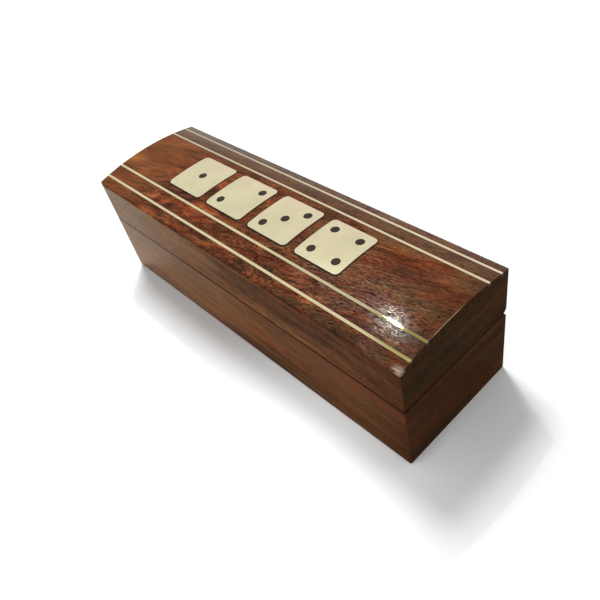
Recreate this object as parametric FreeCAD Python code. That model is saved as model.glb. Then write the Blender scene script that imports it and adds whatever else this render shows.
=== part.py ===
import FreeCAD, Part
import math
import os

# Dice box of Indian rosewood with a domed, brass-inlaid lid on two small butt hinges.
#
# Frame: the origin lies on the table under the middle of the box. +X runs along the
# length, -Y is the front, +Y is the hinge side, +Z is up. All sizes are millimetres.
#
# The box is made the way a box maker does it: one closed, rounded form is sawn apart at
# the seam, and its frames are mitred walls with a floor and a top board let into them.

# ---- outer form ----
length = 150.0
width = 45.5
base_height = 26.2            # table to seam
lid_side_height = 16.8        # seam to the long edges of the dome
crown_rise = 2.6              # long edges of the dome to its crown
edge_round = 0.65             # on the straight outside edges of the closed box
seam_chamfer = 0.3            # on all edges of both rims

# ---- frames, floor and top board ----
wall = 6.5
floor_thickness = 4.0
floor_tongue = 2.5            # how far the floor reaches under the walls
felt_thickness = 1.0
felt_gap = 0.3                # all round the felt
top_lip = 1.2                 # edge of the top board on the walls, up to the dome's edge
top_plug = 3.0                # part of the top board that drops between the walls

# ---- brass inlay ----
strip_width = 0.9
strip_depth = 1.0
front_strip_insets = {"outer": 4.25, "inner": 10.7}   # from the front face
back_strip_insets = {"outer": 3.45, "inner": 9.1}     # from the back face
plate_side = 18.5
plate_corner = 1.6
plate_depth = 1.5             # below the crown
plate_gap = 4.0               # between neighbouring plates
plate_row_shift = -3.1        # middle of the row of plates along X
pip_radius = 1.5
pip_pitch = 5.2
die_faces = (1, 2, 3, 4)      # pips on the plates, left to right

# ---- hinges ----
opening_angle = 110.0         # degrees
bevel_play = 0.5              # degrees left on each bevel when the lid is fully open
hinge_length = 20.0
hinge_inset = 34.0            # end of the box to the middle of the hinge
knuckle_count = 3
knuckle_gap = 0.15            # along the pin, between knuckles
leaf_thickness = 0.7
leaf_width = 4.5              # pin axis to the inner edge of the leaf
pin_radius = 0.65
pin_clearance = 0.05          # radial, pin in knuckle
knuckle_cover = 0.1           # knuckles sit this far inside the back face
knuckle_clearance = 0.3       # radial, round the knuckles
mortise_clearance = 0.05      # round the edge of a leaf
screw_end_inset = 4.2         # end of a leaf to its nearer screw
screw_side_inset = 1.75       # inner edge of the leaf to its screws
screw_length = 5.5
screw_shank_radius = 0.6
screw_head_radius = 1.2
screw_tip_length = 1.2
screw_tip_radius = 0.15
screw_fit = 0.02              # round the countersunk head
screw_flat_count = 12         # the tiny screws are drawn with this many flats

# ---- worked out from the sizes above ----
lid_edge_z = base_height + lid_side_height
crown_z = lid_edge_z + crown_rise
dome_radius = ((width / 2) ** 2 + crown_rise ** 2) / (2 * crown_rise)
dome_centre_z = crown_z - dome_radius
top_joint_z = lid_edge_z - top_lip
plug_z = top_joint_z - top_plug
half_length = length / 2
half_width = width / 2
knuckle_radius = pin_radius + pin_clearance + leaf_thickness
axis_y = half_width - knuckle_radius - knuckle_cover
bevel_angle = math.radians(opening_angle / 2 + bevel_play)
screw_y = axis_y - leaf_width + screw_side_inset
OVER = 5.0                    # cutting tools run this far past what they cut


def vec(x, y, z):
    return FreeCAD.Vector(x, y, z)


def box_between(x_low, x_high, y_low, y_high, z_low, z_high):
    corner = vec(x_low, y_low, z_low)
    return Part.makeBox(x_high - x_low, y_high - y_low, z_high - z_low, corner)


def centred_box(half_x, half_y, z_low, z_high):
    return box_between(-half_x, half_x, -half_y, half_y, z_low, z_high)


def prism(points, direction):
    return Part.Face(Part.makePolygon(points + points[:1])).extrude(direction)


def edges_at_height(shape, z):
    return [e for e in shape.Edges if abs(e.BoundBox.ZMin - z) < 0.001 and abs(e.BoundBox.ZMax - z) < 0.001]


def dome_height(y):
    return dome_centre_z + math.sqrt(dome_radius ** 2 - y ** 2)


# ---- the closed box ----
def closed_form():
    """Solid outer form of the closed box, rounded but for the crisp edges of its arched ends."""
    x = -half_length
    bottom_front = vec(x, -half_width, 0)
    bottom_back = vec(x, half_width, 0)
    top_front = vec(x, -half_width, lid_edge_z)
    top_back = vec(x, half_width, lid_edge_z)
    outline = Part.Wire([
        Part.LineSegment(bottom_front, bottom_back).toShape(),
        Part.LineSegment(bottom_back, top_back).toShape(),
        Part.Arc(top_back, vec(x, 0, crown_z), top_front).toShape(),
        Part.LineSegment(top_front, bottom_front).toShape(),
    ])
    form = Part.Face(outline).extrude(vec(length, 0, 0))
    straight = [e for e in form.Edges if e.Curve.TypeId == "Part::GeomLine"]
    return form.makeFillet(edge_round, straight)


def back_bevel(side):
    """Wedge cut from the back edge of a rim: side -1 is the base, +1 the lid.

    The two bevels start at the hinge axis and meet when the lid is fully open."""
    reach = half_width - axis_y + OVER
    drop = side * reach * math.tan(bevel_angle)
    x = -half_length - OVER
    points = [
        vec(x, axis_y, base_height),
        vec(x, axis_y + reach, base_height),
        vec(x, axis_y + reach, base_height + drop),
    ]
    return prism(points, vec(length + 2 * OVER, 0, 0))


def rim_chamfered(frame):
    return frame.makeChamfer(seam_chamfer, edges_at_height(frame, base_height))


# ---- hinges ----
def hinge_spans():
    """Low and high X of the left and right hinges."""
    near = half_length - hinge_inset - hinge_length / 2
    far = near + hinge_length
    return {"left": (-far, -near), "right": (near, far)}


def knuckle_spans(span):
    """X ranges of the base leaf's and the lid leaf's knuckles, which alternate."""
    pitch = (span[1] - span[0] + knuckle_gap) / knuckle_count
    spans = [(span[0] + i * pitch, span[0] + (i + 1) * pitch - knuckle_gap) for i in range(knuckle_count)]
    return {-1: spans[0::2], 1: spans[1::2]}


def rod(radius, x_low, x_high):
    """Round bar on the hinge axis."""
    return Part.makeCylinder(radius, x_high - x_low, vec(x_low, axis_y, base_height), vec(1, 0, 0))


def screw(x, side, margin=0.0):
    """Countersunk wood screw, head flush with the leaf: side -1 in the base, +1 in the lid.

    Its head is as deep as the leaf is thick. A margin widens it all round for its hole."""
    stations = [
        (0.0, screw_head_radius),
        (leaf_thickness, screw_shank_radius),
        (screw_length - screw_tip_length, screw_shank_radius),
        (screw_length, screw_tip_radius),
    ]
    rings = []
    for depth, radius in stations:
        centre = vec(x, screw_y, base_height + side * depth)
        rings.append(regular_polygon(centre, radius + margin, screw_flat_count))
    return Part.makeLoft(rings, True, True)


def regular_polygon(centre, radius, sides):
    turns = [2 * math.pi * i / sides for i in range(sides)]
    corners = [centre + vec(radius * math.cos(t), radius * math.sin(t), 0) for t in turns]
    return Part.makePolygon(corners + corners[:1])


def screw_places(span):
    return (span[0] + screw_end_inset, span[1] - screw_end_inset)


def leaf(span, side):
    """Brass leaf in the rim with its knuckles: side -1 in the base, +1 in the lid."""
    heights = sorted((base_height, base_height + side * leaf_thickness))
    plate = box_between(span[0], span[1], axis_y - leaf_width, axis_y, *heights)
    knuckles = knuckle_spans(span)
    for low, high in knuckles[-side]:
        plate = plate.cut(rod(knuckle_radius + knuckle_clearance, low - knuckle_gap, high + knuckle_gap))
    for low, high in knuckles[side]:
        plate = plate.fuse(rod(knuckle_radius, low, high))
    plate = plate.cut(rod(pin_radius + pin_clearance, span[0] - OVER, span[1] + OVER))
    for x in screw_places(span):
        plate = plate.cut(screw(x, side, screw_fit))
    return plate.removeSplitter()


def hinge_room(span, side):
    """Everything cut from a back wall for one hinge: mortise, knuckle groove and screws."""
    heights = sorted((base_height - side * OVER, base_height + side * leaf_thickness))
    room = box_between(
        span[0] - mortise_clearance,
        span[1] + mortise_clearance,
        axis_y - leaf_width - mortise_clearance,
        axis_y,
        *heights,
    )
    groove_radius = knuckle_radius + knuckle_clearance
    groove = rod(groove_radius, span[0] - mortise_clearance, span[1] + mortise_clearance)
    room = room.fuse(groove)
    for x in screw_places(span):
        room = room.fuse(screw(x, side))
    return room


# ---- frames ----
def mitred_walls(frame, z_low, z_high):
    """Cuts a frame into its four walls along the mitres of its corners."""
    inner_x = half_length - wall
    inner_y = half_width - wall
    tall = vec(0, 0, z_high - z_low)
    reach = OVER

    def region(points):
        return frame.common(prism([vec(x, y, z_low) for x, y in points], tall))

    def long_side(s):
        return region([
            (-half_length - reach, s * (half_width + reach)),
            (half_length + reach, s * (half_width + reach)),
            (inner_x, s * inner_y),
            (-inner_x, s * inner_y),
        ])

    def short_side(s):
        return region([
            (s * (half_length + reach), -half_width - reach),
            (s * (half_length + reach), half_width + reach),
            (s * inner_x, inner_y),
            (s * inner_x, -inner_y),
        ])

    return {
        "front_wall": long_side(-1),
        "back_wall": long_side(1),
        "left_end": short_side(-1),
        "right_end": short_side(1),
    }


def base_pieces(form):
    inner_x = half_length - wall
    inner_y = half_width - wall
    seat_x = inner_x + floor_tongue
    seat_y = inner_y + floor_tongue
    frame = form.common(centred_box(length, width, -OVER, base_height))
    frame = frame.cut(centred_box(inner_x, inner_y, -OVER, base_height + OVER))
    frame = frame.cut(centred_box(seat_x, seat_y, -OVER, floor_thickness))
    frame = rim_chamfered(frame).cut(back_bevel(-1))
    for span in hinge_spans().values():
        frame = frame.cut(hinge_room(span, -1))
    walls = mitred_walls(frame, -OVER, base_height + OVER)
    pieces = {"base_" + name: shape for name, shape in walls.items()}
    pieces["base_floor"] = centred_box(seat_x, seat_y, 0, floor_thickness)
    felt_top = floor_thickness + felt_thickness
    felt = centred_box(inner_x - felt_gap, inner_y - felt_gap, floor_thickness, felt_top)
    pieces["floor_felt"] = felt
    return pieces


def lid_frame_pieces(form):
    inner_x = half_length - wall
    inner_y = half_width - wall
    frame = form.common(centred_box(length, width, base_height, top_joint_z))
    frame = frame.cut(centred_box(inner_x, inner_y, base_height - OVER, top_joint_z + OVER))
    frame = rim_chamfered(frame).cut(back_bevel(1))
    for span in hinge_spans().values():
        frame = frame.cut(hinge_room(span, 1))
    walls = mitred_walls(frame, base_height - OVER, top_joint_z + OVER)
    return {"lid_" + name: shape for name, shape in walls.items()}


def top_board(form):
    """Domed board whose lip lies on the lid's walls and whose plug drops between them."""
    board = form.common(centred_box(length, width, top_joint_z, crown_z + OVER))
    plug = centred_box(half_length - wall, half_width - wall, plug_z, top_joint_z)
    return board.fuse(plug).removeSplitter()


# ---- inlay ----
def strip_lines():
    """Y of the middle of each brass strip."""
    lines = {"front_" + name: -half_width + inset for name, inset in front_strip_insets.items()}
    lines.update({"back_" + name: half_width - inset for name, inset in back_strip_insets.items()})
    return lines


def strip_space(y):
    half = strip_width / 2
    bottom = dome_height(abs(y) + half) - strip_depth
    return box_between(-length, length, y - half, y + half, bottom, crown_z + OVER)


def plate_pocket(x, y):
    """Space a plate fills, from its flat pocket floor to above the crown."""
    half = plate_side / 2
    block = box_between(x - half, x + half, y - half, y + half, crown_z - plate_depth, crown_z + OVER)
    upright = [e for e in block.Edges if e.BoundBox.ZLength > plate_depth]
    return block.makeFillet(plate_corner, upright)


def plate_places():
    pitch = plate_side + plate_gap
    lines = strip_lines()
    y = (lines["front_inner"] + lines["back_inner"]) / 2
    first = plate_row_shift - pitch * (len(die_faces) - 1) / 2
    return [(first + i * pitch, y) for i in range(len(die_faces))]


def pip_offsets(count):
    """Pip places on a die face, in pitches from its middle."""
    diagonal = [(-1, -1), (1, 1)]
    corners = diagonal + [(-1, 1), (1, -1)]
    middle = [(0, 0)] if count % 2 else []
    outer = {0: [], 1: diagonal, 2: corners, 3: corners + [(-1, 0), (1, 0)]}
    return middle + outer[count // 2]


def pip_hole(x, y):
    return Part.makeCylinder(pip_radius, 2 * OVER, vec(x, y, crown_z - OVER))


def inlay_pieces(board):
    """Board with its grooves and pockets cut, and all that is let into them."""
    pieces = {}
    blank = board
    for name, y in strip_lines().items():
        space = strip_space(y)
        pieces["inlay_strip_" + name] = blank.common(space)
        board = board.cut(space)
    for number, (x, y) in enumerate(plate_places()):
        pocket = plate_pocket(x, y)
        plate = blank.common(pocket)
        pips = []
        for across, up in pip_offsets(die_faces[number]):
            hole = pip_hole(x + across * pip_pitch, y + up * pip_pitch)
            pips.append(plate.common(hole))
            plate = plate.cut(hole)
        pieces["inlay_die_face_%d" % (number + 1)] = plate
        pieces["inlay_pips_%d" % (number + 1)] = Part.makeCompound(pips)
        board = board.cut(pocket)
    pieces["lid_top"] = board
    return pieces


def hinge_pieces():
    pieces = {}
    screws = {-1: [], 1: []}
    for name, span in hinge_spans().items():
        pieces[name + "_hinge_base_leaf"] = leaf(span, -1)
        pieces[name + "_hinge_lid_leaf"] = leaf(span, 1)
        pieces[name + "_hinge_pin"] = rod(pin_radius, *span)
        for side in screws:
            screws[side] += [screw(x, side) for x in screw_places(span)]
    pieces["base_hinge_screws"] = Part.makeCompound(screws[-1])
    pieces["lid_hinge_screws"] = Part.makeCompound(screws[1])
    return pieces


def main():
    form = closed_form()
    pieces = base_pieces(form)
    pieces.update(lid_frame_pieces(form))
    pieces.update(inlay_pieces(top_board(form)))
    pieces.update(hinge_pieces())
    os.makedirs("parts", exist_ok=True)
    for name, shape in pieces.items():
        shape.exportStep("parts/" + name + ".step")
        box = shape.BoundBox
        size = (box.XLength, box.YLength, box.ZLength)
        print("%-26s %2d solid(s) %9.2f mm3  %.2f x %.2f x %.2f" % (name, len(shape.Solids), shape.Volume, *size))


main()
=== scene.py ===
"""Looks of the rosewood dice box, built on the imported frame. Lengths are metres."""

import math

import bmesh
import bpy
from mathutils import Matrix, Vector, noise


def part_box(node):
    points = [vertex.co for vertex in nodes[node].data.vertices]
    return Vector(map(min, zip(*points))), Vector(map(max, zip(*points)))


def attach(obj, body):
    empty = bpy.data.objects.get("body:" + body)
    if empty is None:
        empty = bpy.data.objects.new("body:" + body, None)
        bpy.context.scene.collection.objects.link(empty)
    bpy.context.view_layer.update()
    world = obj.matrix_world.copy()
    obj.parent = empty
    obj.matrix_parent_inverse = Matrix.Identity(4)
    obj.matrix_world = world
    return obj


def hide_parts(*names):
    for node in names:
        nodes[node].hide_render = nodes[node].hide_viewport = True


MM = 0.001

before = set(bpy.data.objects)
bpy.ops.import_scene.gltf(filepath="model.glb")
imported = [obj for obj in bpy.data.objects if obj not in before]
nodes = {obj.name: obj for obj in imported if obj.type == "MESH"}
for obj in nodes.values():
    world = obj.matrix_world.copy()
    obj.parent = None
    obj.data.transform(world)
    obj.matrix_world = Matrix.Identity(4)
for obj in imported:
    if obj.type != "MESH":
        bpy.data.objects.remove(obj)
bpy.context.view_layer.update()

# ---- sizes shared with the solids ----
HALF_LENGTH = 75.0 * MM
HALF_WIDTH = 22.75 * MM
SEAM_Z = 26.2 * MM
DOME_EDGE_Z = 43.0 * MM
CROWN_Z = 45.6 * MM
DOME_RISE = CROWN_Z - DOME_EDGE_Z
DOME_RADIUS = (HALF_WIDTH**2 + DOME_RISE**2) / (2 * DOME_RISE)
EDGE_START_Y = HALF_WIDTH - 0.6 * MM  # the rounding of the long edges begins here
TOP_OUTSIDE_Z = 41.5 * MM  # the top's outside is above this height, its underside below
PLATE_HALF = 9.25 * MM
PLATE_CORNER = 1.6 * MM
PLATE_ROW_X = -3.1 * MM
PLATE_ROW_Y = 0.8 * MM
PLATE_PITCH = 22.5 * MM
STRIP_LINES = [-18.5 * MM, -12.05 * MM, 13.65 * MM, 19.3 * MM]

# The place on the dome where the photograph shows the lamp's reflection.
GLINT = (0.064, -0.0117, 0.0447)


# ---- node networks ----
class Net:
    """The node tree of a material or world, and short ways to add nodes to it."""

    def __init__(self, owner):
        owner.use_nodes = True
        self.owner = owner
        self.tree = owner.node_tree
        self.tree.nodes.clear()
        coordinates = self.add("TexCoord").outputs
        self.place = coordinates["Object"]
        self.facing = coordinates["Normal"]
        self.direction = coordinates["Generated"]

    def add(self, kind, sockets=None, **settings):
        n = self.tree.nodes.new("ShaderNode" + kind)
        for key, value in settings.items():
            setattr(n, key, value)
        for key, value in (sockets or {}).items():
            self.put(n.inputs[key], value)
        return n

    def put(self, socket, value):
        if isinstance(value, bpy.types.NodeSocket):
            self.tree.links.new(value, socket)
        elif socket.type == "RGBA":
            socket.default_value = (*value, 1.0)
        else:
            socket.default_value = value

    def close(self, shader, output="OutputMaterial"):
        self.add(output, {0: shader.outputs[0]})
        return self.owner

    def surface(self, **sockets):
        named = {key.replace("_", " "): value for key, value in sockets.items()}
        return self.close(self.add("BsdfPrincipled", named))

    # Arithmetic on single values.
    def math(self, operation, *values):
        return self.add("Math", dict(enumerate(values)), operation=operation).outputs[0]

    def times(self, a, b):
        return self.math("MULTIPLY", a, b)

    def plus(self, a, b):
        return self.math("ADD", a, b)

    def minus(self, a, b):
        return self.math("SUBTRACT", a, b)

    def most(self, a, b):
        return self.math("MAXIMUM", a, b)

    def scaled(self, value, factor, offset):
        return self.math("MULTIPLY_ADD", value, factor, offset)

    def size(self, value):
        return self.math("ABSOLUTE", value)

    def distance(self, value, line):
        return self.size(self.plus(value, -line))

    def span(self, value, low, high, to_low=0.0, to_high=1.0, smooth=False):
        """Clamped change from to_low to to_high while the value goes from low to high."""
        sockets = {
            "Value": value,
            "From Min": low,
            "From Max": high,
            "To Min": to_low,
            "To Max": to_high,
        }
        interpolation = "SMOOTHSTEP" if smooth else "LINEAR"
        return self.add("MapRange", sockets, interpolation_type=interpolation, clamp=True).outputs[0]

    # Vectors.
    def vector(self, operation, a, b):
        return self.add("VectorMath", {0: a, 1: b}, operation=operation).outputs[0]

    def axes(self, vector=None):
        return self.add("SeparateXYZ", {0: vector or self.place}).outputs

    def join(self, x, y, z=0.0):
        return self.add("CombineXYZ", {0: x, 1: y, 2: z}).outputs[0]

    def length(self, vector):
        return self.add("VectorMath", {0: vector}, operation="LENGTH").outputs["Value"]

    def reach(self, x, y, centre, stretch):
        """Distance in plan from a centre, with each axis multiplied by its own stretch."""
        offset = self.vector("SUBTRACT", self.join(x, y), (*centre, 0.0))
        return self.length(self.vector("MULTIPLY", offset, (*stretch, 0.0)))

    def end_face(self):
        """1 on the faces that look along X, 0 elsewhere."""
        return self.span(self.size(self.axes(self.facing)[0]), 0.6, 0.8)

    def noise(self, vector, scale, detail=3.0, roughness=0.55, distortion=0.0, colour=False):
        """Noise of a vector whose axes are multiplied by scale, one number or three."""
        scales = scale if isinstance(scale, tuple) else (scale, scale, scale)
        sockets = {
            "Vector": self.vector("MULTIPLY", vector, scales),
            "Scale": 1.0,
            "Detail": detail,
            "Roughness": roughness,
            "Distortion": distortion,
        }
        return self.add("TexNoise", sockets).outputs["Color" if colour else "Fac"]

    def bump(self, height, distance, strength=1.0, normal=None):
        sockets = {"Height": height, "Distance": distance, "Strength": strength}
        if normal is not None:
            sockets["Normal"] = normal
        return self.add("Bump", sockets).outputs[0]

    # Colours.
    def ramp(self, value, positions, colours):
        n = self.add("ValToRGB", {0: value})
        elements = n.color_ramp.elements
        while len(elements) < len(positions):
            elements.new(0.5)
        for element, position, colour in zip(elements, positions, colours):
            element.position = position
            element.color = (*colour, 1.0)
        return n.outputs[0]

    def mix(self, share, a, b, blend="MIX"):
        n = self.add("Mix", data_type="RGBA", blend_type=blend)
        for key, value in ((0, share), (6, a), (7, b)):
            self.put(n.inputs[key], value)
        return n.outputs[2]

    def tinted(self, share, colour, factors):
        """The colour multiplied by three factors, as far as share says."""
        return self.mix(share, colour, factors, "MULTIPLY")

    def swayed(self, colour, figure, share, high, low):
        """A colour tinted one way where a figure is high and another way where it is low.

        high and low each give where the tint starts, where it is full, and its factors."""
        for start, full, factors in (high, low):
            colour = self.tinted(self.times(self.span(figure, start, full), share), colour, factors)
        return colour


def material_net(name):
    return Net(bpy.data.materials.new(name))


def dimmed(colour, factor):
    return tuple(factor * c for c in colour)


def dress(node, material):
    mesh = nodes[node].data
    mesh.materials.clear()
    mesh.materials.append(material)


# ---- wood ----
# Tones of plain wood: dark, middle and light.
LONG_TONES = ((0.05, 0.018, 0.007), (0.135, 0.048, 0.0165), (0.25, 0.1, 0.034))
BASE_END_TONES = ((0.034, 0.0135, 0.006), (0.052, 0.021, 0.0095), (0.075, 0.03, 0.013))
LID_END_TONES = ((0.026, 0.0135, 0.007), (0.04, 0.02, 0.0095), (0.056, 0.029, 0.0125))
SAPWOOD = (0.26, 0.115, 0.045)
# Paler, greyer wood towards the left end, for the base and the lid: a painted reflection of the bright floor.
LEFT_REFLECTION_BASE = (0.23, 0.108, 0.055)
LEFT_REFLECTION_LID = (0.16, 0.078, 0.038)
SEAM_RED = (0.135, 0.038, 0.017)
SEAM_SHADOW = (0.035, 0.006, 0.003)

# Tones of the top's three kinds of figure, from dark to light.
FLAME_STOPS = (0.0, 0.3, 0.6, 0.85, 1.0)
FLAME_TONES = (
    (0.03, 0.01, 0.005),
    (0.09, 0.024, 0.011),
    (0.21, 0.06, 0.022),
    (0.33, 0.103, 0.036),
    (0.44, 0.175, 0.062),
)
CALM_STOPS = (0.0, 0.5, 1.0)
CALM_TONES = ((0.09, 0.029, 0.009), (0.155, 0.05, 0.016), (0.28, 0.096, 0.028))
BROWN_STOPS = (0.0, 0.3, 0.55, 0.75, 1.0)
BROWN_TONES = (
    (0.05, 0.015, 0.006),
    (0.11, 0.034, 0.013),
    (0.17, 0.056, 0.021),
    (0.175, 0.075, 0.028),
    (0.25, 0.115, 0.046),
)
WINE_RED = (0.1, 0.026, 0.012)
OLIVE_BROWN = (0.15, 0.08, 0.032)
VEIN = (0.03, 0.009, 0.004)
RIGHT_END_BROWN = (0.05, 0.016, 0.005)
# Painted reflection haze along the back of the dome, brown and grey.
BACK_HAZE_BROWN = (0.095, 0.055, 0.028)
BACK_HAZE_GREY = (0.066, 0.052, 0.031)
DARK_LINE = (0.03, 0.01, 0.005)
MURK = (0.035, 0.026, 0.012)
# Painted scratchy sheen beside the glint.
PAINTED_HAIR_SHEEN = (0.27, 0.18, 0.135)
PORE = (0.014, 0.005, 0.003)
GLUE = (0.012, 0.006, 0.004)
# Painted highlight on the arched edges and the front right corner.
PAINTED_GLINT = (0.5, 0.38, 0.29)

# Lacquer weight at shares of the box's length, from its left end.
BASE_GLOSS = ((0.0, 0.6), (0.1, 0.52), (0.25, 0.44), (0.43, 0.3), (0.55, 0.16), (1.0, 0.05))
LID_GLOSS = ((0.0, 0.6), (0.1, 0.55), (0.3, 0.32), (0.5, 0.16), (1.0, 0.05))
END_GLOSS = ((0.0, 0.03), (1.0, 0.03))
FLOOR_GLOSS = ((0.0, 0.2), (1.0, 0.2))

SEED_STEP = (0.731, 0.297, 0.513)  # each seed takes its wood this much further on
GRAIN_SLANT = 0.05
FIGURE_TILT = math.radians(12)
# The rubbed-up patch round the glint, in plan: centre, stretch of the axes, radius.
PATCH_CENTRE = (GLINT[0] - 1.0 * MM, GLINT[1] - 3.5 * MM)
PATCH_STRETCH = (1.5, 1.0)
PATCH_RADIUS = 13.0 * MM
# The painted scratchy sheen beside it.
PAINTED_HAIRS_CENTRE = (0.046, -0.007)
PAINTED_HAIRS_STRETCH = (0.42, 1.0)


def grain_coordinates(net, along, seed):
    """Object coordinates turned so that X runs along the grain, moved to this board's own wood."""
    x, y, z = net.axes()
    turned = net.join(y, x, z) if along == "Y" else net.place
    return net.vector("ADD", turned, tuple(seed * step for step in SEED_STEP))


def pores(net, grain, density, along=650, across=4200):
    """Short dark pore lines, by default 0.2 mm wide and about 1.5 mm long."""
    fine = net.noise(grain, (along, across, across), 0.0, 0.5, 0.2)
    return net.span(fine, density, density + 0.07, smooth=True)


def broken(net, weight, holes):
    """Lacquer weight where the pores break it."""
    return net.times(weight, net.scaled(holes, -0.7, 1.0))


def wall_gloss(net, stops):
    """Gloss of the walls from the left end of the box to its right end."""
    positions, weights = zip(*stops)
    greys = [(weight, weight, weight) for weight in weights]
    return net.ramp(net.span(net.axes()[0], -HALF_LENGTH, HALF_LENGTH), positions, greys)


def wall_figure(net, lines, bands, broad, fibre, tones, mottled):
    """Plain wood: bands, fibre, changes of hue, mottle as strong as mottled says, and light threads."""
    dark, middle, light = tones
    tone = net.plus(net.times(bands, 0.6), net.times(broad, 0.6))
    colour = net.ramp(net.span(tone, 0.46, 0.74), (0.0, 0.45, 1.0), (dark, middle, light))
    colour = net.mix(net.times(net.span(fibre, 0.35, 0.7), 0.3), colour, dark)
    varied = net.span(net.axes()[0], -0.04, 0.02, 0.25, 0.8)
    hue = net.noise(lines, (22, 150, 150), 4.0, 0.65, 0.8)
    redder, browner = (1.25, 0.86, 0.65), (0.86, 1.0, 1.08)
    colour = net.swayed(colour, hue, varied, (0.5, 0.64, redder), (0.5, 0.36, browner))
    mottle = net.noise(lines, (70, 190, 190), 4.0, 0.6, 1.4)
    lighter, darker = (1.3, 1.22, 1.15), (0.58, 0.6, 0.7)
    share = net.times(varied, mottled)
    colour = net.swayed(colour, mottle, share, (0.5, 0.62, lighter), (0.48, 0.36, darker))
    threads = net.noise(lines, (9, 210, 210), 3.0, 0.5, 0.3)
    thread = net.span(net.distance(threads, 0.56), 0.0, 0.008, 0.5, 0.0)
    return net.mix(thread, colour, dimmed(light, 1.3))


def wall_light(net, colour, bands, dark, pale, painted_shading):
    """Paler sapwood towards the seam, painted shade towards the right end and at the foot, a painted
    reflection towards the left end, a reddish band under the seam, and the painted shadow in the seam.
    """
    x, y, z = net.axes()
    sapwood = net.times(net.span(z, 0.004, 0.018), net.span(z, 0.0265, 0.0255))
    colour = net.mix(net.times(sapwood, pale), colour, SAPWOOD)
    # Painted shade: darker wood towards the right end, most in its last 25 mm, less on the paler band.
    painted_shade = net.times(net.span(x, 0.0, 0.075, 0.0, painted_shading), net.scaled(sapwood, -0.5, 1.0))
    painted_right_shade = net.span(x, 0.05, 0.075, 0.0, 1.5 * painted_shading)
    colour = net.mix(net.most(painted_shade, painted_right_shade), colour, dark)
    # Painted reflection: paler, greyer wood towards the left end and low on the wall, for the bright floor
    # mirrored in the lacquer.
    left_reflection = net.times(net.span(x, 0.0, -0.06), net.span(z, 0.024, 0.006, 0.55, 1.0))
    colour = net.mix(net.times(left_reflection, 1.1 * painted_shading), colour, LEFT_REFLECTION_BASE if pale else LEFT_REFLECTION_LID)
    # Painted shade: darker near the foot of the wall's right half.
    painted_foot_shade = net.times(net.span(z, 0.014, 0.007), net.span(x, -0.005, 0.02, 0.0, painted_shading))
    colour = net.tinted(painted_foot_shade, colour, (0.45, 0.45, 0.45))
    streaked = net.times(net.span(x, -0.01, 0.02), net.span(bands, 0.5, 0.56))
    red = net.times(net.span(z, 0.0165, 0.0225), streaked)
    colour = net.mix(net.times(red, 2.4 * pale), colour, SEAM_RED)
    seam = net.span(net.distance(z, SEAM_Z), 0.3 * MM, 0.6 * MM, 0.8, 0.0)
    long_sides = net.span(net.size(y), HALF_WIDTH - 0.7 * MM, HALF_WIDTH - 0.2 * MM)
    ends = net.span(net.size(x), HALF_LENGTH - 0.7 * MM, HALF_LENGTH - 0.2 * MM)
    return net.mix(net.times(seam, net.most(ends, long_sides)), colour, SEAM_SHADOW)


def rosewood(name, along, seed, tones, gloss, pale=0.0, painted_shading=0.0):
    """Plain straight-grained rosewood.

    pale lightens the base towards the seam; the last argument sets the painted shade towards the right end
    and at the foot, and the painted reflection towards the left end."""
    net = material_net(name)
    grain = grain_coordinates(net, along, seed)
    u, v, w = net.axes(grain)
    wander = net.noise(grain, (14, 30, 30), 2.0)
    across = net.scaled(u, GRAIN_SLANT, v)
    depth = net.scaled(wander, 0.006, net.plus(w, net.times(u, GRAIN_SLANT)))
    lines = net.join(u, across, depth)
    bands = net.noise(lines, (7, 300, 330), 4.0, 0.6)
    broad = net.noise(grain, (9, 45, 45), 2.0, 0.5, 0.4)
    fibre = net.noise(grain, (90, 3600, 3600), 3.0, 0.6)

    mottled = 1.0 if along == "X" else 0.3
    colour = wall_figure(net, lines, bands, broad, fibre, tones, mottled)
    colour = wall_light(net, colour, bands, tones[0], pale, painted_shading)
    holes = pores(net, grain, 0.66)
    colour = net.mix(net.times(holes, 0.55), colour, dimmed(tones[0], 0.4))

    rough = net.plus(net.times(holes, 0.12), net.times(broad, 0.1))
    bumped = net.bump(net.minus(net.times(fibre, 0.25), holes), 0.00002, 0.35)
    return net.surface(
        Base_Color=colour,
        Roughness=net.plus(rough, 0.3),
        Normal=bumped,
        Specular_IOR_Level=0.0,
        Coat_Weight=broken(net, wall_gloss(net, gloss), holes),
        Coat_Roughness=0.25,
        Coat_IOR=1.5,
        Coat_Normal=bumped,
    )


def above(net, z, depth, share=1.0):
    """share on the outside of the top, 0 on its underside, changing over a depth."""
    return net.span(z, TOP_OUTSIDE_Z, TOP_OUTSIDE_Z + depth, 0.0, share)


def top_gloss(net):
    """Gloss of the dome: thick lacquer along its back edge, most at the left, and a rubbed-up patch
    round the glint. It is thin on the front rounding and on the ends."""
    x, y, z = net.axes()
    back = net.times(net.span(y, 0.013, 0.0222), net.span(x, -HALF_LENGTH, HALF_LENGTH, 1.0, 0.4))
    leaning = net.join(net.times(x, 260.0), net.scaled(y, 1700.0, net.times(x, -350.0)))
    wisps = net.noise(leaning, 1.0, 3.0, 0.65)
    from_patch = net.plus(net.reach(x, y, PATCH_CENTRE, PATCH_STRETCH), net.scaled(wisps, 0.016, -0.008))
    outside = above(net, z, 1.0 * MM)
    patch = net.times(outside, net.span(from_patch, PATCH_RADIUS, 0.0, 0.0, 0.62, smooth=True))
    weight = net.plus(net.plus(back, patch), 0.13)
    front_edge = net.times(net.span(y, -EDGE_START_Y, -EDGE_START_Y - 0.3 * MM), outside)
    dull = net.most(net.times(front_edge, 0.75), net.times(net.end_face(), 0.95))
    return net.times(weight, net.minus(1.0, dull))


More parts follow.
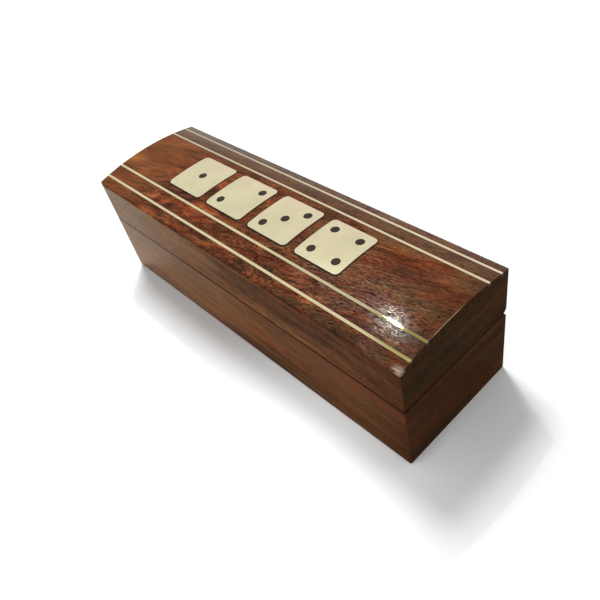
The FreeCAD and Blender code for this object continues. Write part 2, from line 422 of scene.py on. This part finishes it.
def inlay_edges(net):
    """Dark glue line in the wood, 0.4 mm wide round the plates and narrow along the strips."""
    x, y, z = net.axes()
    wobble = net.noise(net.place, 900, 2.0)
    width = net.scaled(wobble, 0.6 * MM, 0.1 * MM)
    along = net.plus(x, -PLATE_ROW_X)
    in_pitch = net.math("WRAP", along, PLATE_PITCH, 0.0)
    offsets = (
        net.size(net.plus(in_pitch, -PLATE_PITCH / 2 - 0.25 * MM)),
        net.size(net.plus(y, -PLATE_ROW_Y + 0.3 * MM)),
    )
    squares = []
    for offset in offsets:
        past_straight = net.most(net.plus(offset, PLATE_CORNER - PLATE_HALF), 0.0)
        squares.append(net.math("POWER", past_straight, 2.0))
    gap = net.minus(net.math("SQRT", net.plus(*squares)), PLATE_CORNER)
    gap = net.plus(gap, net.span(net.size(along), PLATE_PITCH * 2, PLATE_PITCH * 2 + MM))
    mark = net.span(net.minus(gap, width), -0.1 * MM, 0.1 * MM, 1.0, 0.0)
    for line in STRIP_LINES:
        beside = net.minus(net.distance(y, line), net.times(width, 0.4))
        mark = net.most(mark, net.span(beside, 0.4 * MM, 0.55 * MM, 0.8, 0.0))
    return net.times(mark, above(net, z, 0.2 * MM))


def top_figure(net, bent, streaks, broad):
    """Plain reddish wood at the left, flame figure in the middle, drawn-out brown at the right."""
    x, y = net.axes()[:2]
    patches = net.noise(bent, (85, 240, 80), 5.0, 0.6, 0.9)
    drift = net.noise(bent, (48, 400, 120), 3.0, 0.55, 0.7)
    flame = net.scaled(patches, 0.72, net.times(streaks, 0.28))
    drawn = net.scaled(drift, 0.62, net.times(streaks, 0.38))
    quiet = net.scaled(broad, 0.7, net.times(streaks, 0.3))
    wild = net.ramp(net.span(flame, 0.36, 0.65), FLAME_STOPS, FLAME_TONES)
    calm = net.ramp(net.span(quiet, 0.32, 0.68), CALM_STOPS, CALM_TONES)
    calm = net.tinted(net.span(y, -0.0125, -0.0085), calm, (1.22, 1.27, 1.27))
    brown = net.ramp(net.span(drawn, 0.36, 0.64), BROWN_STOPS, BROWN_TONES)
    hue = net.noise(bent, (42, 130, 90), 4.0, 0.6, 0.6)
    brown = net.mix(net.span(hue, 0.5, 0.6, 0.0, 0.75), brown, WINE_RED)
    brown = net.mix(net.span(hue, 0.48, 0.38, 0.0, 0.7), brown, OLIVE_BROWN)
    middle = net.span(x, -0.066, -0.034, smooth=True)
    colour = net.mix(middle, calm, wild)
    right = net.span(x, -0.030, 0.030, smooth=True)
    strongly = net.span(y, -0.0095, -0.0125, 0.85, 0.4)
    colour = net.mix(net.times(right, strongly), colour, brown)
    tint = net.noise(bent, (90, 340, 120), 3.0, 0.6, 0.5)
    varied = net.span(x, -0.06, -0.035, 0.25, 0.9)
    redder, browner = (1.12, 0.78, 0.6), (0.72, 0.88, 0.95)
    colour = net.swayed(colour, tint, varied, (0.5, 0.66, redder), (0.5, 0.36, browner))
    ridge = net.noise(bent, (150, 420, 90), 2.0, 0.6, 1.2)
    veins = net.span(net.distance(ridge, 0.5), 0.0, 0.035, 0.65, 0.0)
    return net.mix(net.times(veins, middle), colour, VEIN)


def top_light(net, colour, bent, broad, fibre):
    """Darker places of the dome, its dark lines, a painted reflection haze along its back, and a painted
    scratchy sheen beside the glint.
    """
    x, y, z = net.axes()
    colour = net.mix(net.span(x, 0.066, 0.0745, 0.0, 0.5, smooth=True), colour, RIGHT_END_BROWN)
    # Painted reflection: a grey-brown haze along the back of the dome, strongest at the left.
    painted_back_haze = net.times(net.span(y, 0.0105, 0.0145), net.span(x, 0.04, -0.04, 0.35, 0.8))
    colour = net.mix(painted_back_haze, colour, net.mix(net.span(y, 0.0175, 0.0215), BACK_HAZE_BROWN, BACK_HAZE_GREY))
    lines = net.noise(bent, (75, 1500, 400), 3.0, 0.6, 0.2)
    drawn_lines = net.times(net.span(lines, 0.55, 0.66), net.span(x, 0.02, 0.045, 0.7, 0.35))
    colour = net.mix(drawn_lines, colour, DARK_LINE)
    patchy = net.times(net.span(x, 0.02, 0.045), net.span(broad, 0.36, 0.52))
    murky = net.times(net.span(y, -0.0195, -0.021), patchy)
    colour = net.mix(net.times(murky, 0.7), colour, MURK)
    colour = net.mix(net.times(net.span(fibre, 0.45, 0.7), 0.15), colour, DARK_LINE)
    between_strips = net.times(net.span(y, -0.0085, -0.0125), net.span(y, -0.0205, -0.0175))
    colour = net.tinted(net.times(between_strips, net.span(x, -0.02, 0.02)), colour, (0.72, 0.74, 0.86))
    # Painted sheen: pale scratchy lines beside the glint, for the lamp's reflection in the lacquer.
    painted_hairs = net.noise(bent, (330, 3400, 900), 2.0, 0.6, 0.3)
    near = net.span(net.reach(x, y, PAINTED_HAIRS_CENTRE, PAINTED_HAIRS_STRETCH), 0.014, 0.004, smooth=True)
    painted_hairs = net.times(net.span(painted_hairs, 0.5, 0.62), near)
    return net.mix(net.times(painted_hairs, above(net, z, 1.0 * MM, 0.4)), colour, PAINTED_HAIR_SHEEN)


def top_pores(net, grain, bent):
    """Few pores at the left and dense ones at the right."""
    x = net.axes()[0]
    few = pores(net, grain, 0.66)
    many = pores(net, net.vector("ADD", bent, (0.31, 0.17, 0.0)), 0.6, 700, 3500)
    holes = net.most(few, net.times(many, net.span(x, -0.045, 0.015, 0.2, 1.0)))
    return net.times(holes, net.span(x, -0.07, -0.03, 0.25, 1.0))


def top_painted_glints(net, broad, fibre):
    """Painted highlight: pale lines along the arched edges of the ends and a pale patch at the front right
    corner, for the lamp's glints.
    """
    x, y, z = net.axes()
    across = net.math("SQRT", net.minus(DOME_RADIUS**2, net.math("POWER", y, 2.0)))
    below = net.minus(net.minus(across, DOME_RADIUS - CROWN_Z), z)
    at_end = net.span(net.size(x), HALF_LENGTH - 0.2 * MM, HALF_LENGTH - 0.1 * MM)
    edge = net.times(at_end, net.span(below, 0.1 * MM, 0.2 * MM, 1.0, 0.0))
    stretch = net.span(net.distance(y, -0.004), 0.0075, 0.005)
    edge = net.times(edge, net.times(net.span(broad, 0.47, 0.56), stretch))
    corner = net.times(net.span(x, 0.0715, 0.0735), net.span(y, -0.0205, -0.0222))
    return net.most(net.times(edge, 0.55), net.times(corner, net.span(fibre, 0.35, 0.6)))


def figured_top():
    """Strongly figured board. Its figure runs a little askew to the box."""
    net = material_net("figured_rosewood")
    x, y, z = net.axes()
    cosine, sine = math.cos(FIGURE_TILT), math.sin(FIGURE_TILT)
    u = net.plus(net.times(x, cosine), net.times(y, sine))
    v = net.minus(net.times(y, cosine), net.times(x, sine))
    grain = net.join(u, v, z)
    bend = net.noise(grain, (60, 90, 60), 2.0, 0.5, colour=True)
    bend = net.vector("SUBTRACT", bend, (0.5, 0.5, 0.5))
    bent = net.vector("ADD", grain, net.vector("MULTIPLY", bend, (0.004, 0.005, 0.0)))
    streaks = net.noise(bent, (130, 1300, 400), 3.0, 0.6, 0.3)
    broad = net.noise(grain, (26, 80, 40), 2.0, 0.5, 0.5)
    fibre = net.noise(grain, (160, 3600, 1500), 2.0, 0.6)

    colour = top_figure(net, bent, streaks, broad)
    colour = top_light(net, colour, bent, broad, fibre)
    holes = top_pores(net, grain, bent)
    colour = net.mix(net.times(holes, net.span(y, -0.004, 0.003, 0.8, 0.42)), colour, PORE)
    colour = net.mix(net.times(inlay_edges(net), 0.85), colour, GLUE)
    end_tone = net.ramp(net.span(streaks, 0.3, 0.7), (0.0, 0.5, 1.0), LID_END_TONES)
    colour = net.mix(net.end_face(), colour, end_tone)
    # Painted highlight: pale lines on the arched edges and a pale patch at the front right corner.
    colour = net.mix(net.times(top_painted_glints(net, broad, fibre), 0.8), colour, PAINTED_GLINT)

    flow = net.bump(net.noise(grain, (110, 160, 160), 2.0), 0.00025, 0.05)
    relief = net.bump(net.minus(net.times(fibre, 0.35), holes), 0.00003, 0.5, flow)
    combed = net.bump(net.minus(net.times(fibre, 1.5), holes), 0.00003, 0.5, flow)
    return net.surface(
        Base_Color=colour,
        Roughness=net.scaled(holes, 0.3, 0.45),
        Normal=relief,
        Specular_IOR_Level=0.0,
        Coat_Weight=broken(net, top_gloss(net), holes),
        Coat_Roughness=0.14,
        Coat_IOR=1.5,
        Coat_Normal=combed,
    )


# ---- brass, filler, felt ----
INLAY_BRASS = (0.88, 0.75, 0.45)
PLATE_BRASS = (0.86, 0.77, 0.5)
HINGE_BRASS = (0.78, 0.6, 0.3)
SCREW_BRASS = (0.56, 0.4, 0.17)
# Painted reflection tints of the brass: warmer at the back, greener at the front, and a faint band.
PEACH_REFLECTION = (0.97, 0.77, 0.56)
GREENISH_REFLECTION = (0.8, 0.8, 0.52)
PAINTED_SHEEN_BAND = (0.6, 0.62, 0.45)
# Back strips towards the left, darker and greyer.
BACK_LEFT_GREY_BRASS = (0.42, 0.3, 0.2)
# Painted reflection: the inner front strip darker.
DARK_REFLECTION_BRASS = (0.46, 0.4, 0.24)
DARK_END = (0.03, 0.016, 0.007)
# Painted shade in the screws' slots and round their rims.
RECESS_SHADE = (0.07, 0.04, 0.015)
BRASS_SEED = 1.7

FILLER_DARK = (0.012, 0.006, 0.003)
FILLER_LIGHT = (0.035, 0.015, 0.007)
FELT_STOPS = (0.0, 0.45, 0.8, 1.0)
FELT_TONES = ((0.045, 0.004, 0.006), (0.12, 0.009, 0.014), (0.19, 0.018, 0.024), (0.3, 0.05, 0.055))


def brass(name, tint, shine, brushed="X", recess_shade_start=0.0, back_reflection=PEACH_REFLECTION, front_reflection=0.0):
    """Brass: shine is its roughness. Painted reflection tints: it turns to the given back colour at the back
    and, by the given share, greener at the front.

    The painted shade in the screw's slot and round its rim begins at the given distance from the seam's
    level, if one is given."""
    net = material_net(name)
    grain = grain_coordinates(net, brushed, BRASS_SEED)
    scratches = net.noise(grain, (60, 5200, 5200), 3.0, 0.6)
    cloud = net.noise(grain, (90, 130, 130), 3.0, 0.55)
    tarnish = net.noise(grain, 380, 2.0)
    x, y, z = net.axes()
    # Painted reflection: a warmer tint at the back and a greener one at the front.
    colour = net.mix(net.span(y, 0.003, 0.013, 0.0, 0.75, smooth=True), tint, back_reflection)
    colour = net.mix(net.span(y, -0.003, -0.009, 0.0, front_reflection, smooth=True), colour, GREENISH_REFLECTION)
    # Painted reflection: a faint greenish band swept across the brass.
    sweep = net.scaled(x, 0.8, net.times(y, 0.6))
    painted_sheen = net.noise(net.join(sweep, 0.0), (210, 0, 0), 2.0)
    colour = net.mix(net.span(painted_sheen, 0.45, 0.75, 0.0, 0.12), colour, PAINTED_SHEEN_BAND)
    # The back strips darker and greyer towards the left.
    back_strips = net.times(net.span(y, 0.0125, 0.013), net.span(y, 0.0145, 0.0175, 0.45, 0.8))
    colour = net.mix(net.times(back_strips, net.span(x, 0.03, -0.05)), colour, BACK_LEFT_GREY_BRASS)
    # Painted reflection: the inner front strip darker towards the glint.
    inner_front = net.times(net.span(y, -0.0105, -0.0112), net.span(y, -0.0145, -0.0135))
    colour = net.mix(net.times(inner_front, net.span(x, 0.0, 0.05, 0.0, 0.6)), colour, DARK_REFLECTION_BRASS)
    colour = net.mix(net.times(net.span(cloud, 0.3, 0.75), 0.6), colour, dimmed(tint, 0.82))
    colour = net.mix(net.times(net.span(tarnish, 0.6, 0.8), 0.25), colour, dimmed(tint, 0.6))
    end = net.end_face()
    colour = net.mix(end, colour, DARK_END)
    # Painted shade in the screw's slot and round its rim, below the head's face.
    if recess_shade_start:
        recess_shadow = net.span(net.distance(z, SEAM_Z), recess_shade_start, 2 * recess_shade_start, 0.0, 0.85)
        colour = net.mix(recess_shadow, colour, RECESS_SHADE)
    return net.surface(
        Base_Color=colour,
        Metallic=net.minus(1.0, end),
        Roughness=net.scaled(scratches, 0.3 * shine, net.scaled(end, 0.4, shine)),
        Normal=net.bump(scratches, 0.00001, 0.25),
        Specular_IOR_Level=0.1,
    )


def lac():
    net = material_net("dark_filler")
    speck = net.noise(net.place, 1500, 3.0)
    return net.surface(
        Base_Color=net.mix(net.span(speck, 0.35, 0.75), FILLER_DARK, FILLER_LIGHT),
        Roughness=net.plus(0.35, net.times(speck, 0.2)),
        Normal=net.bump(speck, 0.00002, 0.3),
        Specular_IOR_Level=0.2,
    )


def felt():
    net = material_net("felt")
    curl = net.noise(net.place, 700, 2.0, 0.5, 2.5)
    fuzz = net.noise(net.place, 2200, 4.0, 0.75, 1.5)
    nap = net.noise(net.place, 110, 3.0, 0.6, 0.5)
    tone = net.scaled(fuzz, 0.4, net.scaled(curl, 0.35, net.times(nap, 0.25)))
    height = net.scaled(curl, 0.6, net.times(fuzz, 0.6))
    return net.surface(
        Base_Color=net.ramp(net.span(tone, 0.36, 0.64), FELT_STOPS, FELT_TONES),
        Roughness=net.span(fuzz, 0.2, 0.8, 0.85, 1.0),
        Normal=net.bump(height, 0.0004, 0.9),
        Sheen_Weight=0.25,
        Sheen_Roughness=0.5,
        Sheen_Tint=(0.75, 0.16, 0.18),
        Specular_IOR_Level=0.05,
    )


# ---- dress the solids: each board has a seed of its own ----
LONG_WALLS = ["base_front_wall", "base_back_wall", "lid_front_wall", "lid_back_wall"]
ENDS = ["base_left_end", "base_right_end", "lid_left_end", "lid_right_end"]
for seed, node in enumerate(LONG_WALLS, 1):
    gloss, pale = (BASE_GLOSS, 0.3) if node.startswith("base") else (LID_GLOSS, 0.0)
    dress(node, rosewood(node + "_wood", "X", seed, LONG_TONES, gloss, pale, 0.5))
for seed, node in enumerate(ENDS, 6):
    tones = LID_END_TONES if node.startswith("lid") else BASE_END_TONES
    dress(node, rosewood(node + "_wood", "Y", seed, tones, END_GLOSS))
dress("base_floor", rosewood("base_floor_wood", "X", 11, LONG_TONES, FLOOR_GLOSS))
dress("lid_top", figured_top())

by_word = {
    "inlay_strip": brass("inlay_brass", INLAY_BRASS, 0.017),
    "inlay_die_face": brass("plate_brass", PLATE_BRASS, 0.12, "Y", front_reflection=0.5),
    "hinge": brass("hinge_brass", HINGE_BRASS, 0.25, back_reflection=HINGE_BRASS),
    "inlay_pips": lac(),
}
for node in nodes:
    for word, material in by_word.items():
        if word in node:
            dress(node, material)


# ---- pieces the solids leave to this file ----
FELT_CELLS_X, FELT_CELLS_Y = 96, 24
FELT_RIM = 1.4 * MM  # width of the rounding along its edges
FELT_RAGGED = 0.12 * MM
FELT_CUT_BACK = 0.13 * MM
FELT_TOP = 0.93  # height of its top as a share of the CAD sheet's thickness
FELT_DROP = 0.38  # how far the top drops at the edges, as a share too
FELT_UNDERSIDE = 0.01 * MM
HEAD_RADIUS = 1.17 * MM
HEAD_DEPTH = 0.3 * MM
HEAD_STEPS = 36
SLOT_HALF = 0.17 * MM
FACE_SHARE, FACE_DEPTH = 0.91, 0.02 * MM  # the head's flat face inside its worn rim
RIM_DEPTH = 0.14 * MM
UNDER_SHARE = 0.98  # radius under the rim
# The screw from its point up to its head, as (radius, height).
SHANK = [
    (0.12 * MM, -5.5 * MM),
    (0.58 * MM, -4.3 * MM),
    (0.58 * MM, -0.75 * MM),
    (HEAD_RADIUS * UNDER_SHARE, -HEAD_DEPTH - 0.02 * MM),
    (HEAD_RADIUS * UNDER_SHARE, -HEAD_DEPTH),
]


def piece(name, bm, body, material, smooth=False):
    mesh = bpy.data.meshes.new(name)
    bmesh.ops.recalc_face_normals(bm, faces=bm.faces)
    bm.to_mesh(mesh)
    bm.free()
    for polygon in mesh.polygons:
        polygon.use_smooth = smooth
    mesh.materials.append(material)
    obj = bpy.data.objects.new(name, mesh)
    bpy.context.scene.collection.objects.link(obj)
    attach(obj, body)
    return obj


def felt_point(low, size, i, j, upper):
    """One point of the felt's grid, on its upper or its lower face."""
    a, b = i / FELT_CELLS_X, j / FELT_CELLS_Y
    x, y = low.x + a * size.x, low.y + b * size.y
    edge = min(a * size.x, (1 - a) * size.x, b * size.y, (1 - b) * size.y)
    rim = max(0.0, 1 - edge / FELT_RIM)
    ragged = FELT_RAGGED * noise.noise(Vector((x * 900, y * 900, 3.0))) - FELT_CUT_BACK
    outward = Vector(((a - 0.5) * size.x if a in (0, 1) else 0.0, (b - 0.5) * size.y if b in (0, 1) else 0.0))
    outward.normalize()
    x += outward.x * ragged
    y += outward.y * ragged
    if not upper:
        return x, y, low.z + FELT_UNDERSIDE
    swell = 0.05 * noise.noise(Vector((x * 60, y * 60, 0)))
    swell += 0.03 * noise.noise(Vector((x * 700, y * 700, 5)))
    return x, y, low.z + size.z * (FELT_TOP + swell - FELT_DROP * rim * rim)


def felt_lining():
    """Cut sheet of felt with a soft top, rounded and slightly ragged edges."""
    low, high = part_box("floor_felt")
    size = high - low
    across, along = FELT_CELLS_X, FELT_CELLS_Y
    bm = bmesh.new()
    grid = {}
    for level in (0, 1):
        for i in range(across + 1):
            for j in range(along + 1):
                grid[level, i, j] = bm.verts.new(felt_point(low, size, i, j, level))
    for level in (0, 1):
        for i in range(across):
            for j in range(along):
                corners = [grid[level, i + p, j + q] for p, q in ((0, 0), (1, 0), (1, 1), (0, 1))]
                bm.faces.new(corners if level else corners[::-1])
    border = [(i, 0) for i in range(across)] + [(across, j) for j in range(along)]
    border += [(i, along) for i in range(across, 0, -1)] + [(0, j) for j in range(along, 0, -1)]
    for here, there in zip(border, border[1:] + border[:1]):
        bm.faces.new((grid[0, *here], grid[0, *there], grid[1, *there], grid[1, *here]))
    obj = piece("felt_lining", bm, "base", felt(), smooth=True)
    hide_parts("floor_felt")


def lathe(bm, outline, steps):
    """Turned form: outline is (radius, height) from its bottom to its top, closed over at both ends."""
    rings = []
    for radius, height in outline:
        ring = []
        for i in range(steps):
            angle = 2 * math.pi * i / steps
            ring.append(bm.verts.new((radius * math.cos(angle), radius * math.sin(angle), height)))
        rings.append(ring)
    for low, high in zip(rings, rings[1:]):
        for i in range(steps):
            j = (i + 1) % steps
            bm.faces.new((low[i], low[j], high[j], high[i]))
    bm.faces.new(rings[0][::-1])
    bm.faces.new(rings[-1])


def slotted_head(bm):
    """One screw with its flat head's face at z = 0 and its point down. The slot is cut across the head."""
    ring = []
    for i in range(HEAD_STEPS):
        angle = 2 * math.pi * (i + 0.5) / HEAD_STEPS
        ring.append((HEAD_RADIUS * math.cos(angle), HEAD_RADIUS * math.sin(angle)))
    reach = math.sqrt(HEAD_RADIUS**2 - SLOT_HALF**2)
    for side in (-1, 1):
        arc = sorted((p for p in ring if p[1] * side > SLOT_HALF), key=lambda p: -p[0] * side)
        points = [(reach * side, SLOT_HALF * side)] + arc + [(-reach * side, SLOT_HALF * side)]
        face = [(FACE_SHARE * x, side * max(FACE_SHARE * side * y, SLOT_HALF)) for x, y in points]
        rim = [bm.verts.new((x, y, -RIM_DEPTH)) for x, y in points]
        top = [bm.verts.new((x, y, -FACE_DEPTH)) for x, y in face]
        low = [bm.verts.new((x, y, -HEAD_DEPTH)) for x, y in (points[0], points[-1])]
        under = [bm.verts.new((x * UNDER_SHARE, y * UNDER_SHARE, -HEAD_DEPTH)) for x, y in points]
        bm.faces.new(top)
        bm.faces.new((top[-1], top[0], rim[0], low[0], low[1], rim[-1]))
        for i in range(len(points) - 1):
            bm.faces.new((top[i], rim[i], rim[i + 1], top[i + 1]))
            bm.faces.new((rim[i], under[i], under[i + 1], rim[i + 1]))
    lathe(bm, SHANK, HEAD_STEPS)


def screw_places(node):
    """X of each screw's axis: the middle of each group of the solid's points in the seam's plane."""
    flush = [v.co for v in nodes[node].data.vertices if abs(v.co.z - SEAM_Z) < 0.001 * MM]
    groups = []
    for x in sorted({round(point.x / MM, 1) for point in flush}):
        if not groups or x - groups[-1][-1] > 1.0:
            groups.append([])
        groups[-1].append(x)
    return [(group[0] + group[-1]) / 2 * MM for group in groups]


def slotted_screws(node, body, material, points_up=False):
    """Round countersunk screws with driver slots, in place of the many-sided ones of the solids."""
    low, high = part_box(node)
    y = (low.y + high.y) / 2
    flip = Matrix.Scale(-1, 4, (0, 0, 1)) if points_up else Matrix.Identity(4)
    bm = bmesh.new()
    for number, x in enumerate(screw_places(node)):
        turn = Matrix.Rotation(0.5 + 1.1 * number + (0.7 if points_up else 0.0), 4, "Z")
        one = bmesh.new()
        slotted_head(one)
        bmesh.ops.transform(one, matrix=Matrix.Translation((x, y, SEAM_Z)) @ flip @ turn, verts=one.verts)
        if points_up:
            bmesh.ops.reverse_faces(one, faces=one.faces)
        screw = bpy.data.meshes.new("screw")
        one.to_mesh(screw)
        one.free()
        bm.from_mesh(screw)
        bpy.data.meshes.remove(screw)
    obj = piece(node + "_slotted", bm, body, material)
    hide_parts(node)


felt_lining()
screw_brass = brass("screw_brass", SCREW_BRASS, 0.36, "Y", recess_shade_start=0.05 * MM, back_reflection=SCREW_BRASS)
slotted_screws("base_hinge_screws", "base", screw_brass)
slotted_screws("lid_hinge_screws", "lid", screw_brass, points_up=True)


# ---- floor, world, lamps, camera ----
WHITE = (1.0, 1.0, 1.0)
FLOOR_TONE = (0.825, 0.838, 0.84)
FLOOR_MIRRORED = (0.86, 0.8, 0.66)
FLOOR_GLOW = 0.05
FADE_START, FADE_END = 0.2, 0.8
WORLD_PALE = (0.84, 0.84, 0.84)
WORLD_STRAW = (0.37, 0.36, 0.13)
STRAW_DIRECTION = (-0.441, 0.215, 0.871)
STRAW_COSINES = (0.9925, 0.9975)  # of the angle from that direction, at the patch's rim and inside it
MATT_LEVEL = 0.68
CAMERA_PLACE = (0.14159, -0.08742, 0.16451)
CAMERA_RIGHT = (0.67539922, 0.71273905, -0.18931176)
CAMERA_FORWARD = (-0.60369962, 0.38693777, -0.69701214)


def studio_floor():
    """White floor. It glows away from the box, so that it runs into the white background."""
    bm = bmesh.new()
    bmesh.ops.create_grid(bm, x_segments=1, y_segments=1, size=3.0)
    mesh = bpy.data.meshes.new("studio_floor")
    bm.to_mesh(mesh)
    bm.free()
    plane = bpy.data.objects.new("studio_floor", mesh)
    plane.location.z = -0.05 * MM
    bpy.context.scene.collection.objects.link(plane)
    net = material_net("studio_floor")
    ray = net.add("LightPath").outputs
    seen = net.most(ray["Is Camera Ray"], net.most(ray["Is Glossy Ray"], ray["Is Transmission Ray"]))
    tone = net.mix(ray["Is Glossy Ray"], FLOOR_TONE, FLOOR_MIRRORED)
    diffuse = net.add("BsdfDiffuse", {"Color": tone})
    far = net.times(ray["Is Camera Ray"], net.span(net.length(net.place), FADE_START, FADE_END))
    glow = net.add("Emission", {"Color": WHITE, "Strength": net.scaled(seen, FLOOR_GLOW, far)})
    both = net.add("AddShader", {0: diffuse.outputs[0], 1: glow.outputs[0]})
    mesh.materials.append(net.close(both))


def studio_world():
    """Even pale light all round with one straw-coloured patch beside the key lamp.

    It is weaker on matt surfaces and white to the camera."""
    world = bpy.data.worlds.new("studio")
    bpy.context.scene.world = world
    net = Net(world)
    ray = net.add("LightPath").outputs
    aimed = net.add("VectorMath", {0: net.direction, 1: STRAW_DIRECTION}, operation="DOT_PRODUCT")
    straw = net.mix(net.span(aimed.outputs["Value"], *STRAW_COSINES), WORLD_PALE, WORLD_STRAW)
    colour = net.mix(ray["Is Camera Ray"], straw, WHITE)
    level = net.span(ray["Is Diffuse Ray"], 0.0, 1.0, 1.0, MATT_LEVEL)
    net.close(net.add("Background", {"Color": colour, "Strength": level}), "OutputWorld")


def place_lamp(data, target, direction, distance, mirrored):
    """Hang a lamp over its target. It shows in mirrored light only if mirrored, and never itself."""
    obj = bpy.data.objects.new(data.name, data)
    aim = Vector(direction).normalized()
    obj.location = Vector(target) + aim * distance
    obj.rotation_euler = aim.to_track_quat("Z", "Y").to_euler()
    obj.visible_glossy = mirrored
    obj.visible_camera = False
    bpy.context.scene.collection.objects.link(obj)


def lamp(name, target, direction, distance, size, power, mirrored=True, colour=WHITE):
    data = bpy.data.lights.new(name, "AREA")
    data.shape = "DISK"
    data.color = colour
    data.size = size
    data.energy = power
    place_lamp(data, target, direction, distance, mirrored)


def spot(name, target, direction, distance, cone, power):
    """Narrow soft beam, cone in degrees. It lightens the shadow at the foot of the front wall."""
    data = bpy.data.lights.new(name, "SPOT")
    data.spot_size = math.radians(cone)
    data.spot_blend = 1.0
    data.shadow_soft_size = 0.03
    data.energy = power
    place_lamp(data, target, direction, distance, False)


def camera():
    """Camera at the photograph's angle: lens and place from the box's own edges."""
    data = bpy.data.cameras.new("camera")
    data.sensor_width = 36.0
    data.lens = 37.29
    data.clip_start = 0.01
    obj = bpy.data.objects.new("camera", data)
    right = Vector(CAMERA_RIGHT)
    forward = Vector(CAMERA_FORWARD)
    right = (right - forward * right.dot(forward)).normalized()
    up = right.cross(forward)
    turn = Matrix((right, up, -forward)).transposed()
    obj.matrix_world = Matrix.Translation(Vector(CAMERA_PLACE)) @ turn.to_4x4()
    bpy.context.scene.collection.objects.link(obj)
    bpy.context.scene.camera = obj


studio_floor()
studio_world()
spot("ceiling_spot", (0.045, -0.05, 0.0), (0.0, -0.05, 1.0), distance=0.5, cone=12.0, power=5.3)
lamp("key", GLINT, (-0.48, 0.286, 0.828), distance=0.9, size=0.01, power=0.95, colour=(0.98, 1.0, 0.9))
lamp("soft_key", (0.0, 0.0, 0.0), (-0.38, 0.19, 0.9), distance=1.2, size=0.33, power=10.2, mirrored=False)
camera()
bpy.context.scene.view_settings.view_transform = "Standard"
